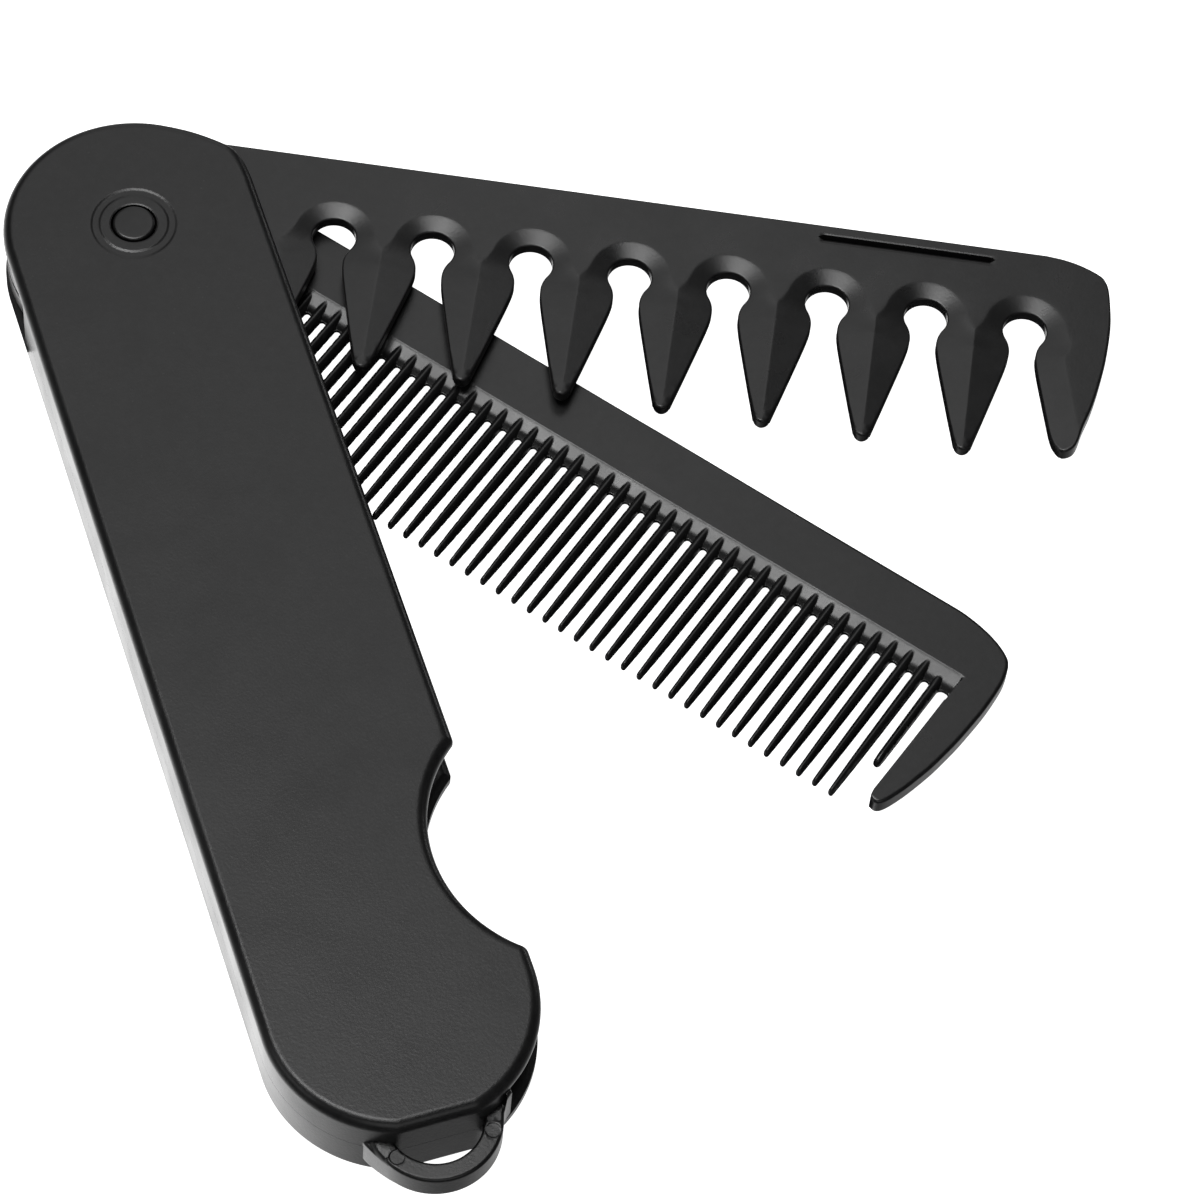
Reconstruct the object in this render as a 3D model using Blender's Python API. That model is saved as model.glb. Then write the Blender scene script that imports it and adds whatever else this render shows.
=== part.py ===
"""Folding pocket comb: a two-part handle, a pivot rivet and two combs that swing out of the handle.

Metres, +Z up. The handle lies flat on Z = 0 with the pivot on the Z axis, and runs along -Y to
its key-ring loop. +X is the open side, where the combs come out. Both combs turn about the Z axis.
Each comb is drawn in its own frame: u runs from the pivot to the tip, v across it towards the back.
"""

import math

import bmesh
import bpy
from mathutils import Matrix, Vector

MM = 0.001

# ---------------------------------------------------------------- driving dimensions (mm, degrees)
HANDLE_R = 14.0           # radius of both round ends, half the handle's width
HANDLE_LEN = 97.4         # from the pivot to the centre of the far round end
END_FLAT_Y = -110.8       # flat on the end wall behind the loop
TOTAL_H = 9.5
PLATE_T = 2.05            # thickness of each cover's flat part
WALL_T = 1.1              # spine wall
WALL_TOP_Y = -6.5         # where the spine wall starts beside the pivot
WALL_END_DEG = -57.0      # where the wall stops on the far round end, past the loop
SEAM_Z = 4.75             # where the two covers meet on the spine wall
GAP = 0.3                 # between the two covers at their seam
EDGE_R = 1.15             # rounded outer edge of the covers

SHOULDER_DEG = 48.5       # the pivot end leaves its round here in a straight shoulder
SHOULDER_R = 2.0
NOTCH_C = (23.9, -82.85)  # thumb notch in the open side
NOTCH_R = 15.75
NOTCH_CORNER_R = 1.3

LOOP_C = (0.2, -109.1)    # key-ring loop
LOOP_R_OUT, LOOP_R_IN = 6.75, 4.8
LOOP_Z0, LOOP_Z1 = 3.2, 6.3
LOOP_EDGE = 0.25

PIN_R = 2.25
PIN_HOLE_R = 2.5          # in the covers
PIN_FIT_R = 2.32          # in the combs, which run on the pin
PIN_PROUD = 0.15
PIN_SOCKET_Z = 0.6        # floor of the blind socket in the bottom cover
RING_R_OUT, RING_R_IN, RING_DEPTH = 4.85, 3.65, 0.3

BLADE_T = 2.3
WIDE_Z, FINE_Z = 4.9, 2.3             # underside of each comb
WIDE_DEG, FINE_DEG = -25.39, -52.08   # as laid open; -90 is shut
BACK_V = 13.8             # back line of both combs, and the radius of their round pivot end

GAP_COUNT, GAP_PITCH, GAP_FIRST = 8, 10.755, 21.17
KEY_R, KEY_V = 2.35, 4.1  # round root of each wide gap
NECK_HALF, NECK_V = 1.42, 1.0
FLANK_SLOPE, FLANK_EASE = 0.2586, 0.9
WIDE_TIP_V, WIDE_TIP_R = -12.6, 0.95
WIDE_HEEL_V = -12.3
GAP_BEVEL_W, GAP_BEVEL_D = 2.0, 0.5
NICK_FAR_V, NICK_NEAR_V, NICK_DEPTH = 12.7, 10.85, 0.9
NICK_FAR_U, NICK_NEAR_U = (73.3, 92.4), (75.1, 91.0)

TOOTH_PITCH, TOOTH_LAST_U, TOOTH_COUNT = 1.969, 97.45, 42
TOOTH_ROOT_V, TOOTH_TIP_V = 5.3, -12.35
TOOTH_ROOT_W, TOOTH_TIP_W = 1.2, 0.8
TOOTH_T, TOOTH_CHAMFER = 2.0, 0.3
SHORT_TOOTH_U, SHORT_TOOTH_TIP_V = 99.47, -6.75
FINE_GAP_W = 0.75
BAND_TOP_V, BAND_LOW_V, BAND_DEPTH, ROOT_DEPTH = 7.3, 6.0, 0.45, 0.85
GUARD_IN_U = 101.3

# far end of each comb, from its lower tip round to its back line
WIDE_END = [
    # u, v
    (101.6, -11.2), (102.6, -10.8), (103.2, -9.85), (103.7, -7.7), (104.3, -5.6), (104.75, -3.5),
    (105.1, -1.4), (105.4, 0.8), (105.6, 3.9), (105.6, 6.1), (105.4, 8.2), (105.1, 10.2),
    (104.7, 11.3), (104.0, 12.1), (102.1, 13.0), (100.1, 13.55), (98.0, 13.8),
]
FINE_END = [
    # u, v
    (101.65, -10.9), (102.3, -10.8), (102.9, -9.95), (103.6, -8.0), (104.15, -5.9), (104.6, -3.8),
    (104.9, -1.75), (105.15, 0.4), (105.35, 3.5), (105.4, 5.6), (105.3, 8.0), (105.1, 9.5),
    (104.6, 11.0), (103.8, 11.9), (102.0, 12.8), (99.9, 13.4), (97.6, 13.75), (96.0, 13.8),
]


# ---------------------------------------------------------------- outlines: lists of (x, y) in mm
def arc(cx, cy, r, a0, a1, step=8.0):
    """Points from a0 to a1 degrees, about `step` degrees apart, both ends included."""
    n = max(1, math.ceil(abs(a1 - a0) / step - 1e-6))
    angles = [math.radians(a0 + (a1 - a0) * i / n) for i in range(n + 1)]
    return [(cx + r * math.cos(a), cy + r * math.sin(a)) for a in angles]


def rounded(before, corner, after, r, step=20.0):
    """The corner between two neighbours, rounded with radius r."""
    c = Vector(corner)
    d0 = (Vector(before) - c).normalized()
    d1 = (Vector(after) - c).normalized()
    half = d0.angle(d1) / 2
    reach = r / math.tan(half)
    centre = c + (d0 + d1).normalized() * (r / math.sin(half))
    p0, p1 = c + d0 * reach - centre, c + d1 * reach - centre
    a0 = math.degrees(math.atan2(p0.y, p0.x))
    turn = (math.degrees(math.atan2(p1.y, p1.x)) - a0 + 180) % 360 - 180
    return arc(centre.x, centre.y, r, a0, a0 + turn, step)


def circle(cx, cy, r, n):
    return [(cx + r * math.cos(math.tau * i / n), cy + r * math.sin(math.tau * i / n)) for i in range(n)]


def deduped(points, least=0.02):
    out = []
    for p in points:
        if not out or math.dist(p, out[-1]) > least:
            out.append(p)
    if math.dist(out[0], out[-1]) <= least:
        out.pop()
    return out


def far_end(inset):
    """Radius, centre and half angle of the end flat for the far round end, moved inwards by inset."""
    r = HANDLE_R - inset
    flat = math.degrees(math.acos((-HANDLE_LEN - END_FLAT_Y - inset) / r))
    return r, -HANDLE_LEN, flat


def handle_outline(inset=0.0):
    """The covers' outline, anticlockwise from the end flat."""
    r, cy, flat = far_end(inset)
    points = arc(0, cy, r, -90 + flat, 0)
    # thumb notch between two small corners
    nx, ny = NOTCH_C
    notch_r = NOTCH_R + inset
    dy = math.sqrt(notch_r**2 - (nx - r) ** 2)
    low, high = (r, ny - dy), (r, ny + dy)
    a_low = math.degrees(math.atan2(low[1] - ny, low[0] - nx)) % 360
    a_high = math.degrees(math.atan2(high[1] - ny, high[0] - nx)) % 360
    sweep = arc(nx, ny, notch_r, a_low - 5, a_high + 5, 6.0)
    points += rounded((r, low[1] - 5), low, sweep[0], NOTCH_CORNER_R)
    points += sweep
    points += rounded(sweep[-1], high, (r, high[1] + 5), NOTCH_CORNER_R)
    # straight shoulder at the pivot end
    a = math.radians(SHOULDER_DEG)
    tangent = (r * math.cos(a), r * math.sin(a))
    drop = (r - tangent[0]) / math.tan(a)
    corner = (r, tangent[1] - drop)
    points += rounded((r, corner[1] - 5), corner, tangent, SHOULDER_R - 0.5 * inset)
    points += arc(0, 0, r, SHOULDER_DEG, 180)
    points += arc(0, cy, r, 180, 270 - flat)
    return deduped(points)


def cavity_outline():
    """The room for the combs: inside the spine wall, and open everywhere else."""
    r, cy, flat = far_end(WALL_T)
    out = HANDLE_R + 6
    end = math.radians(WALL_END_DEG)
    return deduped(
        [(-out, WALL_TOP_Y), (-r, WALL_TOP_Y)]
        + arc(0, cy, r, 180, 270 - flat)
        + arc(0, cy, r, 270 + flat, 360 + WALL_END_DEG)
        + [(out * math.cos(end), cy + out * math.sin(end)), (out + 6, cy), (out + 6, out), (-out, out)]
    )


def flank(v):
    """Half width of a wide gap below its neck."""
    s = NECK_V - v
    return NECK_HALF + FLANK_SLOPE * (s - FLANK_EASE * (1 - math.exp(-s / FLANK_EASE)))


def wide_gap(centre, grow=0.0, low_v=-14.0):
    """A keyhole gap from its lower left to its lower right, widened all round by grow."""
    neck_r = (KEY_V - NECK_V) ** 2 + NECK_HALF**2 - KEY_R**2
    neck_r /= 2 * (KEY_R - NECK_HALF)          # fillet between the round root and the neck
    nu = NECK_HALF + neck_r
    touch = math.degrees(math.atan2(NECK_V - KEY_V, nu))
    half = [(flank(v) + 1.03 * grow, v) for v in (low_v, -9.0, -5.0, -2.5, -0.6)]
    half += arc(nu, NECK_V, neck_r - grow, 180, 180 + touch, 12.0)
    half += arc(0, KEY_V, KEY_R + grow, touch, 90, 18.0)
    half = deduped(half)
    return [(centre - u, v) for u, v in half] + [(centre + u, v) for u, v in half[-2::-1]]


def gap_centres():
    return [GAP_FIRST + GAP_PITCH * k for k in range(GAP_COUNT)]


def pivot_end(low_v):
    """Round pivot end, from the back line round to the height low_v on the toothed side."""
    return arc(0, 0, BACK_V, 90, 360 + math.degrees(math.asin(low_v / BACK_V)), 9.0)


def wide_outline():
    points = pivot_end(WIDE_HEEL_V)
    tip_v = WIDE_TIP_V + WIDE_TIP_R
    centres = gap_centres()
    for k, centre in enumerate(centres):
        gap = wide_gap(centre, 0.0, tip_v)
        if k == 0:
            corner = (centre - flank(WIDE_HEEL_V), WIDE_HEEL_V)
            points += rounded((corner[0] - 4, WIDE_HEEL_V), corner, gap[1], 0.9)
            gap = gap[1:]
        points += gap
        if k < GAP_COUNT - 1:
            points += arc(centre + GAP_PITCH / 2, tip_v, WIDE_TIP_R, 190, 350, 32.0)
    # the last gap's right flank stops at the end tooth
    last = centres[-1]
    points = [p for p in points if not (p[0] > last and p[1] < -9.5)]
    points += [(last + flank(-9.5), -9.5), (last + flank(-10.4) + 0.1, -10.5)] + WIDE_END
    return deduped(points)


def fine_outline():
    heel_u = TOOTH_LAST_U - TOOTH_PITCH * (TOOTH_COUNT - 1) - TOOTH_ROOT_W / 2 - FINE_GAP_W
    points = pivot_end(TOOTH_TIP_V)
    points += rounded((heel_u - 4, TOOTH_TIP_V), (heel_u, TOOTH_TIP_V), (heel_u, 0), 0.9)
    points += [(heel_u, TOOTH_ROOT_V), (GUARD_IN_U, TOOTH_ROOT_V), (GUARD_IN_U, -10.0), (GUARD_IN_U + 0.12, -10.6)]
    return deduped(points + FINE_END)


def tooth_outline(u, tip_v):
    """One fine tooth, its root reaching a little way into the comb's body."""
    root = TOOTH_ROOT_V + 1.4
    wr = TOOTH_ROOT_W / 2
    wt = TOOTH_TIP_W / 2 + (TOOTH_ROOT_W - TOOTH_TIP_W) / 2 * (tip_v - TOOTH_TIP_V) / (TOOTH_ROOT_V - TOOTH_TIP_V)
    return [(u + wr, root - 0.6), (u, root), (u - wr, root - 0.6)] + arc(u, tip_v + wt, wt, 180, 360, 60.0)


# ---------------------------------------------------------------- modelling helpers
def collection(name):
    made = bpy.data.collections.new(name)
    bpy.context.scene.collection.children.link(made)
    return made


def flat_piece(name, outlines, z0, z1, group):
    """Outlines filled and drawn up from z0 to z1; an outline inside another is a hole."""
    curve = bpy.data.curves.new(name, "CURVE")
    curve.dimensions = "2D"
    curve.fill_mode = "BOTH"
    curve.extrude = (z1 - z0) / 2 * MM
    for outline in outlines:
        spline = curve.splines.new("POLY")
        spline.points.add(len(outline) - 1)
        for point, (x, y) in zip(spline.points, outline):
            point.co = (x * MM, y * MM, 0, 1)
        spline.use_cyclic_u = True
    drawn = bpy.data.objects.new(name + "_outline", curve)
    bpy.context.scene.collection.objects.link(drawn)
    drawn.location.z = (z0 + z1) / 2 * MM
    bpy.context.view_layer.update()
    mesh = bpy.data.meshes.new_from_object(drawn.evaluated_get(bpy.context.evaluated_depsgraph_get()))
    mesh.transform(drawn.matrix_world)
    bm = bmesh.new()
    bm.from_mesh(mesh)
    bmesh.ops.remove_doubles(bm, verts=bm.verts, dist=1e-6)
    bmesh.ops.recalc_face_normals(bm, faces=bm.faces)
    if len(outlines) == 1:
        bmesh.ops.dissolve_limit(bm, angle_limit=math.radians(0.2), verts=[], edges=bm.edges)
    bm.to_mesh(mesh)
    bm.free()
    bpy.data.objects.remove(drawn)
    bpy.data.curves.remove(curve)
    mesh.name = name
    made = bpy.data.objects.new(name, mesh)
    group.objects.link(made)
    return made


def bevel_rims(obj, heights, width, segments):
    """Rounds the edges of the outline that lie at these heights (mm)."""
    bm = bmesh.new()
    bm.from_mesh(obj.data)
    rim = [
        e for e in bm.edges
        if any(all(abs(v.co.z - h * MM) < 1e-6 for v in e.verts) for h in heights)
        and len(e.link_faces) == 2
        and abs(e.link_faces[0].normal.z - e.link_faces[1].normal.z) > 0.3
    ]
    bmesh.ops.bevel(bm, geom=rim, offset=width * MM, segments=segments, affect="EDGES", profile=0.5, clamp_overlap=False)
    bm.to_mesh(obj.data)
    bm.free()


def loft(name, low, high, z_low, z_high, group):
    """Skin between two outlines with the same number of points."""
    bm = bmesh.new()
    rings = [[bm.verts.new((x * MM, y * MM, z * MM)) for x, y in outline] for outline, z in ((low, z_low), (high, z_high))]
    for ring in rings:
        bm.faces.new(ring)
    n = len(rings[0])
    for i in range(n):
        j = (i + 1) % n
        bm.faces.new((rings[0][i], rings[0][j], rings[1][j], rings[1][i]))
    bmesh.ops.recalc_face_normals(bm, faces=bm.faces)
    mesh = bpy.data.meshes.new(name)
    bm.to_mesh(mesh)
    bm.free()
    made = bpy.data.objects.new(name, mesh)
    group.objects.link(made)
    return made


def hull(name, points, group):
    bm = bmesh.new()
    verts = [bm.verts.new(Vector(p) * MM) for p in points]
    bmesh.ops.convex_hull(bm, input=verts)
    bmesh.ops.recalc_face_normals(bm, faces=bm.faces)
    mesh = bpy.data.meshes.new(name)
    bm.to_mesh(mesh)
    bm.free()
    made = bpy.data.objects.new(name, mesh)
    group.objects.link(made)
    return made


def cylinder(name, r, z0, z1, group, sides=40):
    bm = bmesh.new()
    bmesh.ops.create_cone(bm, cap_ends=True, segments=sides, radius1=r * MM, radius2=r * MM, depth=(z1 - z0) * MM)
    mesh = bpy.data.meshes.new(name)
    bm.to_mesh(mesh)
    bm.free()
    mesh.transform(Matrix.Translation((0, 0, (z0 + z1) / 2 * MM)))
    made = bpy.data.objects.new(name, mesh)
    group.objects.link(made)
    return made


def joined(name, objects, group):
    """Several helper shapes that don't touch each other, as one mesh."""
    bm = bmesh.new()
    for obj in objects:
        bm.from_mesh(obj.data)
        bpy.data.objects.remove(obj)
    mesh = bpy.data.meshes.new(name)
    bm.to_mesh(mesh)
    bm.free()
    made = bpy.data.objects.new(name, mesh)
    group.objects.link(made)
    return made


def boolean(obj, other, operation, solver="EXACT"):
    other.hide_render = True
    other.display_type = "WIRE"
    other.location = obj.location
    other.rotation_euler = obj.rotation_euler
    step = obj.modifiers.new(other.name, "BOOLEAN")
    step.operation = operation
    step.solver = solver
    step.object = other


def plastic(name, colour, roughness):
    made = bpy.data.materials.new(name)
    made.use_nodes = True
    shader = made.node_tree.nodes["Principled BSDF"]
    shader.inputs["Base Color"].default_value = (*colour, 1)
    shader.inputs["Roughness"].default_value = roughness
    shader.inputs["Metallic"].default_value = 0.0
    return made


def finish(obj, material):
    obj.data.materials.clear()
    obj.data.materials.append(material)
    obj.data.shade_smooth()
    obj.data.set_sharp_from_angle(angle=math.radians(32))


# ---------------------------------------------------------------- the pieces
def covers(parts, cutters):
    top = flat_piece("handle_top_cover", [handle_outline()], SEAM_Z + GAP / 2, TOTAL_H, parts)
    bevel_rims(top, [TOTAL_H], EDGE_R, 3)
    cavity = flat_piece("top_cavity", [cavity_outline()], SEAM_Z - 2, TOTAL_H - PLATE_T, cutters)
    boolean(top, cavity, "DIFFERENCE")

    ring = [circle(*LOOP_C, LOOP_R_OUT, 48), circle(*LOOP_C, LOOP_R_IN, 48)]
    loop = flat_piece("key_loop", ring, LOOP_Z0, LOOP_Z1, cutters)
    bevel_rims(loop, [LOOP_Z0, LOOP_Z1], LOOP_EDGE, 1)
    # the loop runs into the top cover's wall and stops short of the bottom cover's
    boolean(loop, flat_piece("loop_root", [handle_outline(0.55)], SEAM_Z + GAP / 2, LOOP_Z1 + 2, cutters), "DIFFERENCE")
    boolean(loop, flat_piece("loop_clearance", [handle_outline(-GAP)], LOOP_Z0 - 2, SEAM_Z + GAP / 2, cutters), "DIFFERENCE")
    boolean(top, loop, "UNION")

    groove = [circle(0, 0, RING_R_OUT, 48), circle(0, 0, RING_R_IN, 48)]
    boolean(top, flat_piece("ring_groove", groove, TOTAL_H - RING_DEPTH, TOTAL_H + 1, cutters), "DIFFERENCE")
    boolean(top, cylinder("top_pin_hole", PIN_HOLE_R, TOTAL_H - PLATE_T - 1, TOTAL_H + 1, cutters), "DIFFERENCE")

    bottom = flat_piece("handle_bottom_cover", [handle_outline()], 0, SEAM_Z - GAP / 2, parts)
    bevel_rims(bottom, [0], EDGE_R, 3)
    cavity = flat_piece("bottom_cavity", [cavity_outline()], PLATE_T, SEAM_Z + 2, cutters)
    boolean(bottom, cavity, "DIFFERENCE")
    boolean(bottom, cylinder("pin_socket", PIN_HOLE_R, PIN_SOCKET_Z, PLATE_T + 1, cutters), "DIFFERENCE")
    return top, bottom


def rivet(parts):
    pin = cylinder("pivot_rivet", PIN_R, PIN_SOCKET_Z + GAP, TOTAL_H + PIN_PROUD, parts)
    bevel_rims(pin, [TOTAL_H + PIN_PROUD], 0.2, 2)
    return pin


def wide_comb(parts, cutters):
    comb = flat_piece("wide_comb", [wide_outline()], 0, BLADE_T, parts)
    comb.location.z = WIDE_Z * MM
    comb.rotation_euler.z = math.radians(WIDE_DEG)
    # shallow bevels run round every gap, on both faces; neighbours meet in a ridge down each tooth
    slope = GAP_BEVEL_W / GAP_BEVEL_D
    for odd in (0, 1):
        for face, sign in (("upper", 1), ("lower", -1)):
            z_face = BLADE_T if sign > 0 else 0.0
            cuts = [
                loft(
                    f"bevel_{face}_{k}",
                    wide_gap(centre, -0.2),
                    wide_gap(centre, GAP_BEVEL_W + 0.2 * slope),
                    z_face - sign * (GAP_BEVEL_D + 0.2 / slope),
                    z_face + sign * 0.2,
                    cutters,
                )
                for k, centre in enumerate(gap_centres())
                if k % 2 == odd
            ]
            boolean(comb, joined(f"gap_bevels_{face}_{odd}", cuts, cutters), "DIFFERENCE", "MANIFOLD")
    (fu0, fu1), (nu0, nu1) = NICK_FAR_U, NICK_NEAR_U
    lift = 0.3
    nick = hull(
        "nail_nick",
        [(fu0, NICK_FAR_V, BLADE_T), (fu1, NICK_FAR_V, BLADE_T), (nu0, NICK_NEAR_V, BLADE_T), (nu1, NICK_NEAR_V, BLADE_T)]
        + [(fu0, NICK_FAR_V, BLADE_T + lift), (fu1, NICK_FAR_V, BLADE_T + lift)]
        + [(nu0, NICK_NEAR_V - 0.3, BLADE_T + lift), (nu1, NICK_NEAR_V - 0.3, BLADE_T + lift)]
        + [(fu0 + 1, NICK_FAR_V, BLADE_T - NICK_DEPTH), (fu1 - 1, NICK_FAR_V, BLADE_T - NICK_DEPTH)],
        cutters,
    )
    boolean(comb, nick, "DIFFERENCE", "MANIFOLD")
    boolean(comb, cylinder("wide_pin_hole", PIN_FIT_R, -1, BLADE_T + 1, cutters), "DIFFERENCE", "MANIFOLD")
    return comb


def fine_comb(parts, cutters):
    comb = flat_piece("fine_comb", [fine_outline()], 0, BLADE_T, parts)
    comb.location.z = FINE_Z * MM
    comb.rotation_euler.z = math.radians(FINE_DEG)
    heel_u = TOOTH_LAST_U - TOOTH_PITCH * (TOOTH_COUNT - 1) - TOOTH_ROOT_W / 2 - FINE_GAP_W
    # both faces slope down to the roots of the gaps
    for face, sign in (("upper", 1), ("lower", -1)):
        z_face = BLADE_T if sign > 0 else 0.0
        section = [
            (BAND_TOP_V + 0.3, z_face + sign * 0.1), (BAND_TOP_V, z_face), (BAND_LOW_V, z_face - sign * BAND_DEPTH),
            (TOOTH_ROOT_V - 0.5, z_face - sign * (ROOT_DEPTH + 0.2)), (TOOTH_ROOT_V - 0.5, z_face + sign * 0.1),
        ]
        cut = hull(
            f"band_{face}",
            [(u, v, z) for u in (heel_u, GUARD_IN_U) for v, z in section],
            cutters,
        )
        boolean(comb, cut, "DIFFERENCE")
    teeth = [(TOOTH_LAST_U - TOOTH_PITCH * k, TOOTH_TIP_V) for k in range(TOOTH_COUNT)]
    teeth.append((SHORT_TOOTH_U, SHORT_TOOTH_TIP_V))
    z0 = (BLADE_T - TOOTH_T) / 2
    pieces = []
    for k, (u, tip_v) in enumerate(teeth):
        tooth = flat_piece(f"tooth_{k}", [tooth_outline(u, tip_v)], z0, z0 + TOOTH_T, cutters)
        bevel_rims(tooth, [z0, z0 + TOOTH_T], TOOTH_CHAMFER, 1)
        pieces.append(tooth)
    boolean(comb, joined("teeth", pieces, cutters), "UNION")
    boolean(comb, cylinder("fine_pin_hole", PIN_FIT_R, -1, BLADE_T + 1, cutters), "DIFFERENCE")
    return comb


def main():
    for obj in list(bpy.data.objects):
        bpy.data.objects.remove(obj, do_unlink=True)
    parts = collection("folding_comb")
    cutters = collection("cutters")
    black = plastic("black_plastic", (0.032, 0.032, 0.033), 0.5)
    combs = plastic("comb_plastic", (0.034, 0.034, 0.035), 0.48)
    rivet_black = plastic("rivet_plastic", (0.03, 0.03, 0.031), 0.45)
    top, bottom = covers(parts, cutters)
    finish(top, black)
    finish(bottom, black)
    finish(rivet(parts), rivet_black)
    finish(wide_comb(parts, cutters), combs)
    finish(fine_comb(parts, cutters), combs)
    bpy.context.view_layer.update()


main()
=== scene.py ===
import math

import bmesh
import bpy
import numpy as np
from mathutils import Matrix, Vector
from mathutils.geometry import delaunay_2d_cdt
from mathutils.kdtree import KDTree


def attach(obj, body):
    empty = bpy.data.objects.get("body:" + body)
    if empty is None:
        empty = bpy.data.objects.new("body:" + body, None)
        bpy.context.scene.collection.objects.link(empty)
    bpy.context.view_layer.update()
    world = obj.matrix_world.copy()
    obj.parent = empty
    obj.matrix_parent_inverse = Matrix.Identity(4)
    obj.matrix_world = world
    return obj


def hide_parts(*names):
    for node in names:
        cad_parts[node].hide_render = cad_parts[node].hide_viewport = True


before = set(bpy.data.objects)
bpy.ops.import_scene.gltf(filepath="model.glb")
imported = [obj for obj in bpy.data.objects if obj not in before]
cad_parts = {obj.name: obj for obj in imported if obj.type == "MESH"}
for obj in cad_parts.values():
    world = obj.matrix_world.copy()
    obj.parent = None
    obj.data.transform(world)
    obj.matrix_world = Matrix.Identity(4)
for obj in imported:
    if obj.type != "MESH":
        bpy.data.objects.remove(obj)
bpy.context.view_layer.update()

MM = 0.001

# ------------------------------------------------------------------ dimensions (mm, degrees)
HANDLE_R, HANDLE_LEN, END_FLAT_Y = 14.0, 97.4, -110.8
TOTAL_H, PLATE_T, WALL_T = 9.5, 2.05, 1.1
WALL_TOP_Y, WALL_END_DEG, SEAM_Z = -6.5, -57.0, 4.75
EDGE_R, UNDER_EDGE_R, RIM_BEVEL = 1.15, 0.5, 0.7
SEAM_GAP = 0.02
SHOULDER_DEG = 61.0
SHOULDER = [
    (14.0, 2.8), (13.93, 4.05), (13.8, 5.15), (13.58, 6.15), (13.25, 7.0), (12.75, 7.75), (12.01, 8.51),
    (11.1, 9.32), (10.19, 10.07), (9.26, 10.76), (8.32, 11.36), (7.55, 11.82), (6.787, 12.245),
]
NOTCH_C, NOTCH_R = (23.9, -82.85), 15.75
LOOP_C, LOOP_R_OUT, LOOP_R_IN = (0.2, -109.1), 6.75, 4.8
LOOP_Z0, LOOP_Z1, LOOP_EDGE = 2.8, 6.3, 0.34
BLADE_T, WIDE_Z, FINE_Z = 2.3, 4.9, 2.3
WIDE_DEG, FINE_DEG = -25.39, -52.08
BACK_V = 13.8
GAP_COUNT, GAP_PITCH, GAP_FIRST = 8, 10.755, 21.17
KEY_R, KEY_V, NECK_HALF, NECK_V = 2.35, 3.8, 1.42, 0.68
FLANK_SLOPE, FLANK_EASE = 0.2586, 0.9
WIDE_TIP_V, WIDE_TIP_R, WIDE_HEEL_V = -12.6, 0.95, -12.3
TOOTH_PITCH, TOOTH_LAST_U, TOOTH_COUNT = 1.969, 97.45, 42
TOOTH_ROOT_V, TOOTH_TIP_V, STEP_V = 4.87, -12.35, 7.13
SHORT_TOOTH_U, SHORT_TOOTH_TIP_V = 99.47, -6.75
GUARD_IN_U = 101.3
WIDE_END = [
    (101.6, -11.2), (102.6, -10.8), (103.2, -9.85), (103.7, -7.7), (104.3, -5.6), (104.75, -3.5),
    (105.1, -1.4), (105.4, 0.8), (105.6, 3.9), (105.6, 6.1), (105.4, 8.2), (105.1, 10.2),
    (104.7, 11.3), (104.0, 12.1), (102.1, 13.0), (100.1, 13.55), (98.0, 13.8),
]
FINE_END = [
    (101.65, -10.9), (102.3, -10.8), (102.9, -9.95), (103.6, -8.0), (104.15, -5.9), (104.6, -3.8),
    (104.9, -1.75), (105.15, 0.4), (105.35, 3.5), (105.4, 5.6), (105.3, 8.0), (105.1, 9.5),
    (104.6, 11.0), (103.8, 11.9), (102.0, 12.8), (99.9, 13.4), (97.6, 13.75), (96.0, 13.8),
]


# ------------------------------------------------------------------ plan geometry
def arc(cx, cy, r, a0, a1, step):
    n = max(1, math.ceil(abs(a1 - a0) / step - 1e-6))
    a = np.radians(a0 + (a1 - a0) * np.arange(n + 1) / n)
    return np.c_[cx + r * np.cos(a), cy + r * np.sin(a)]


def rounded(before, corner, after, r, step):
    c = Vector(corner)
    d0 = (Vector(before) - c).normalized()
    d1 = (Vector(after) - c).normalized()
    half = d0.angle(d1) / 2
    reach = r / math.tan(half)
    centre = c + (d0 + d1).normalized() * (r / math.sin(half))
    p0, p1 = c + d0 * reach - centre, c + d1 * reach - centre
    a0 = math.degrees(math.atan2(p0.y, p0.x))
    turn = (math.degrees(math.atan2(p1.y, p1.x)) - a0 + 180) % 360 - 180
    return arc(centre.x, centre.y, r, a0, a0 + turn, step)


def tidy(parts, least=0.01):
    points = np.concatenate([np.asarray(p, float).reshape(-1, 2) for p in parts])
    keep = [0]
    for i in range(1, len(points)):
        if np.hypot(*(points[i] - points[keep[-1]])) > least:
            keep.append(i)
    if np.hypot(*(points[keep[-1]] - points[0])) <= least:
        keep.pop()
    return points[keep]


def split_long(points, most):
    """Adds points on a closed outline so that no edge is longer than most."""
    out = []
    n = len(points)
    for i in range(n):
        a, b = points[i], points[(i + 1) % n]
        k = max(1, math.ceil(np.hypot(*(b - a)) / most))
        for j in range(k):
            out.append(a + (b - a) * j / k)
    return np.array(out)


def smooth_through(points, per_edge=6):
    """A Catmull-Rom curve through an open run of points."""
    p = np.asarray(points, float)
    p = np.vstack([2 * p[0] - p[1], p, 2 * p[-1] - p[-2]])
    out = []
    for i in range(1, len(p) - 2):
        a, b, c, d = p[i - 1], p[i], p[i + 1], p[i + 2]
        for j in range(per_edge):
            t = j / per_edge
            out.append(0.5 * (2 * b + (c - a) * t + (2 * a - 5 * b + 4 * c - d) * t * t + (3 * b - a - 3 * c + d) * t**3))
    out.append(p[-2])
    return np.array(out)


def far_end(inset):
    r = HANDLE_R - inset
    return r, -HANDLE_LEN, math.degrees(math.acos((-HANDLE_LEN - END_FLAT_Y - inset) / r))


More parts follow.
